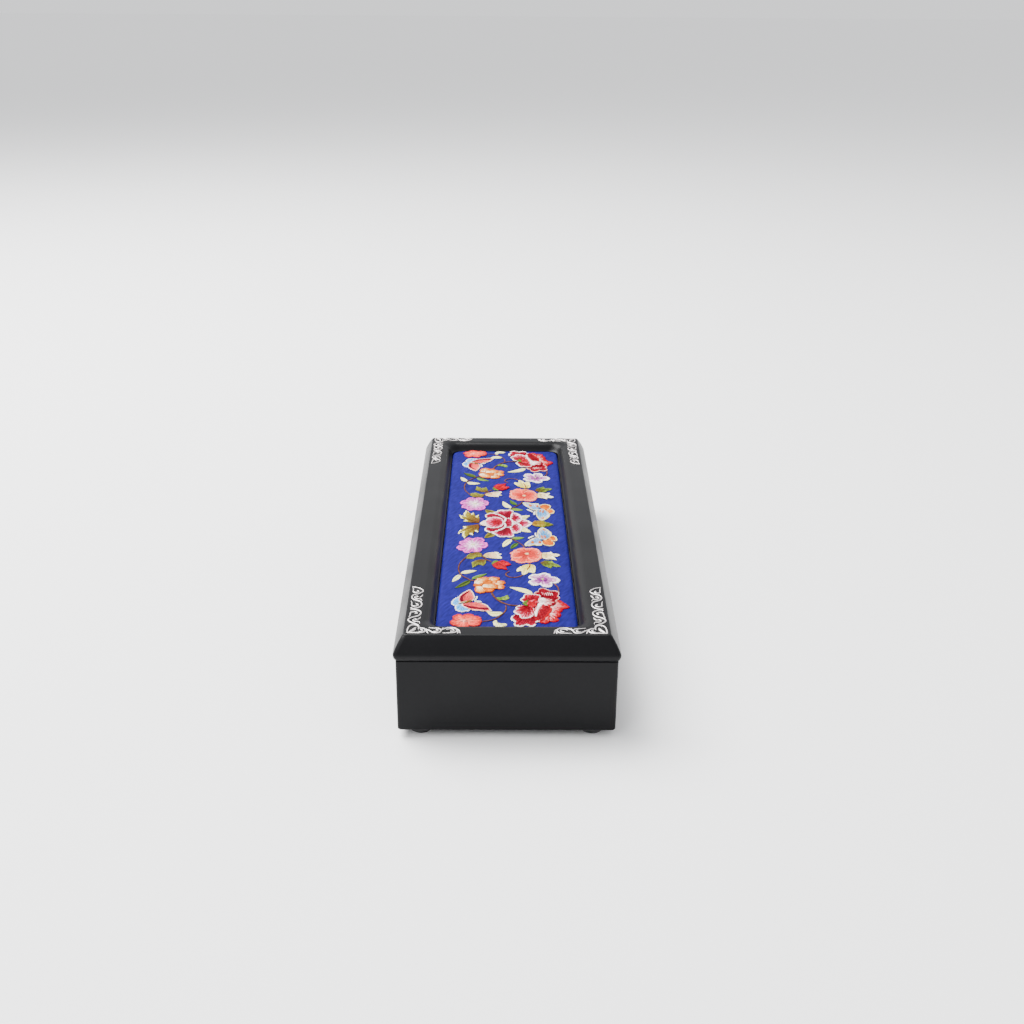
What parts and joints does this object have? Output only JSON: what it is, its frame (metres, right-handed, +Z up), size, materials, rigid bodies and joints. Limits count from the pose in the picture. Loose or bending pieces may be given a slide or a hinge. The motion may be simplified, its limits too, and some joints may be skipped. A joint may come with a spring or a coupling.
{
  "type": "pen case",
  "caption": "Lacquered wooden pen case with a hinged bevelled lid, silver scroll corners and a padded embroidered silk panel.",
  "frame": {"origin": "middle of the case's footprint, on the surface that its feet stand on", "axes": "+X along the case's length, -Y its front, +Y the hinged back, +Z up"},
  "size_m": [0.24, 0.086, 0.0436],
  "materials": {
    "lacquer": "satin black lacquer over wood",
    "silk": "royal blue silk with satin stitch embroidery",
    "foam": "cotton wadding, hidden",
    "board": "grey card, hidden",
    "velvet": "navy velvet",
    "silver": "silver plate, satin",
    "brass": "satin brass",
    "rubber": "matte black rubber"
  },
  "bodies": {
    "case": {"front_wall": "lacquer", "back_wall": "lacquer", "left_wall": "lacquer", "right_wall": "lacquer", "base_board": "lacquer", "floor_pad": "velvet", "lining_front": "velvet", "lining_back": "velvet", "lining_left": "velvet", "lining_right": "velvet", "foot_front_left": "rubber", "foot_front_right": "rubber", "foot_back_left": "rubber", "foot_back_right": "rubber", "hinge_left_case_leaf": "brass", "hinge_left_pin": "brass", "hinge_left_case_screw_a": "brass", "hinge_left_case_screw_b": "brass", "hinge_right_case_leaf": "brass", "hinge_right_pin": "brass", "hinge_right_case_screw_a": "brass", "hinge_right_case_screw_b": "brass"},
    "lid": {"lid_frame": "lacquer", "lid_lining": "velvet", "lid_board": "board", "panel_board": "board", "foam_pad": "foam", "silk_cover": "silk", "ornament_front_left": "silver", "ornament_front_right": "silver", "ornament_back_left": "silver", "ornament_back_right": "silver", "hinge_left_lid_leaf": "brass", "hinge_left_lid_screw_a": "brass", "hinge_left_lid_screw_b": "brass", "hinge_right_lid_leaf": "brass", "hinge_right_lid_screw_a": "brass", "hinge_right_lid_screw_b": "brass"}
  },
  "joints": [
    {"name": "lid_hinge", "type": "hinge", "parent": "case", "child": "lid", "pos_m": [0, 0.0421, 0.03345], "axis": [-1, 0, 0], "range_deg": [0, 115]}
  ]
}
